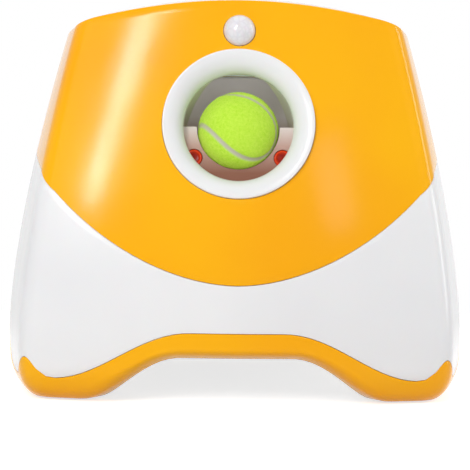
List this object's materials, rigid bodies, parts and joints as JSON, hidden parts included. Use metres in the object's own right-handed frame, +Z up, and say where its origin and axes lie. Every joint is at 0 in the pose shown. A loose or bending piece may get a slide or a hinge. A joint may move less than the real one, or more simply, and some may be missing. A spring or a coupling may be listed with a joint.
{
  "type": "automatic dog ball launcher",
  "caption": "Floor-standing ball launcher for dogs: hopper on top, round mouth in front, sprung striker wound by a geared motor inside a squat two-colour housing.",
  "frame": {"origin": "on the floor under the middle of the housing", "axes": "+X to the right as seen from the front, with the launch mouth facing -Y, +Z up"},
  "size_m": [0.2876, 0.2854, 0.24],
  "materials": {
    "orange_shell": "polished",
    "white_shell": "polished",
    "white_cover": "fine texture",
    "pearl_lens": "satin, translucent",
    "red_window": "polished, tinted",
    "orange_button": "polished",
    "grey_button": "satin",
    "black_plastic": "moulded",
    "grey_plastic": "moulded",
    "nylon": "moulded",
    "red_nylon": "moulded",
    "brass": "machined",
    "steel": "drawn",
    "circuit_board": "lacquered",
    "cell_jacket": "printed film, plain",
    "rubber": "matt",
    "felt": "fuzzy felt"
  },
  "bodies": {
    "housing": {"upper_housing": "orange_shell", "body_shell": "white_shell", "base_ring": "orange_shell", "bottom_cover": "white_cover", "foot_pad_front_left": "rubber", "foot_pad_front_right": "rubber", "foot_pad_rear_right": "rubber", "foot_pad_rear_left": "rubber", "base_screw_front_left": "steel", "base_screw_front_right": "steel", "base_screw_rear_right": "steel", "base_screw_rear_left": "steel", "battery_box": "grey_plastic", "cell_left_1": "cell_jacket", "cell_left_2": "cell_jacket", "cell_left_3": "cell_jacket", "cell_right_1": "cell_jacket", "cell_right_2": "cell_jacket", "cell_right_3": "cell_jacket", "contact_plate_left": "steel", "contact_plate_right": "steel", "hopper": "white_shell", "mouth_ring": "white_shell", "launch_pocket": "white_shell", "striker_spring": "steel", "striker_guide": "nylon", "sector_axle": "steel", "reduction_axle": "steel", "motor": "steel", "gear_plate_left": "grey_plastic", "gear_plate_right": "grey_plastic", "sensor_dome": "pearl_lens", "motion_sensor": "circuit_board", "beam_window_left": "red_window", "beam_window_right": "red_window", "beam_emitter": "circuit_board", "beam_receiver": "circuit_board", "control_panel": "white_shell", "indicator_lens": "red_window", "control_board": "circuit_board", "buzzer": "black_plastic", "dc_socket": "black_plastic", "pocket_screw_lower_left": "steel", "pocket_screw_lower_right": "steel", "pocket_screw_upper_left": "steel", "pocket_screw_upper_right": "steel"},
    "launched_ball": {"ball": "felt"},
    "striker_body": {"striker": "red_nylon"},
    "sector_body": {"sector_gear": "nylon"},
    "reduction_body": {"reduction_gear": "nylon"},
    "pinion_body": {"motor_pinion": "brass"},
    "power_button_body": {"power_button": "orange_button"},
    "distance_button_body": {"distance_button": "grey_button"},
    "battery_door_body": {"battery_door": "white_cover"}
  },
  "joints": [
    {"name": "ball_path", "type": "slide", "parent": "housing", "child": "launched_ball", "axis": [0, -0.866, 0.5], "range_m": [-0.0423, 0.06]},
    {"name": "striker_slide", "type": "slide", "parent": "housing", "child": "striker_body", "axis": [0, 0.866, -0.5], "range_m": [0, 0.032], "deforming": ["striker_spring"]},
    {"name": "sector_turn", "type": "hinge", "parent": "housing", "child": "sector_body", "pos_m": [0, 0.02136, 0.12324], "axis": [1, 0, 0], "range_deg": [0, 87.3], "stiffness_Nm_per_rad": 0.05, "springref_deg": -11.46},
    {"name": "reduction_turn", "type": "hinge", "parent": "housing", "child": "reduction_body", "pos_m": [0, 0.05237, 0.13452], "axis": [1, 0, 0], "range_deg": [-187.1, 0]},
    {"name": "pinion_turn", "type": "hinge", "parent": "housing", "child": "pinion_body", "pos_m": [0, 0.06743, 0.11302], "axis": [1, 0, 0], "range_deg": [0, 374.2]},
    {"name": "power_press", "type": "slide", "parent": "housing", "child": "power_button_body", "axis": [0, -0.9734, -0.2291], "range_m": [0, 0.0012], "stiffness_N_per_m": 300, "springref_m": -0.002},
    {"name": "distance_press", "type": "slide", "parent": "housing", "child": "distance_button_body", "axis": [0, -0.9734, -0.2291], "range_m": [0, 0.0012], "stiffness_N_per_m": 300, "springref_m": -0.002},
    {"name": "battery_door_lift", "type": "slide", "parent": "housing", "child": "battery_door_body", "axis": [0, 0, -1], "range_m": [0, 0.02]}
  ],
  "couplings": [
    {"joint": "striker_slide", "follows": "sector_turn", "m_per_rad": 0.021},
    {"joint": "reduction_turn", "follows": "sector_turn", "ratio": -2.1429},
    {"joint": "pinion_turn", "follows": "sector_turn", "ratio": 4.2857}
  ]
}
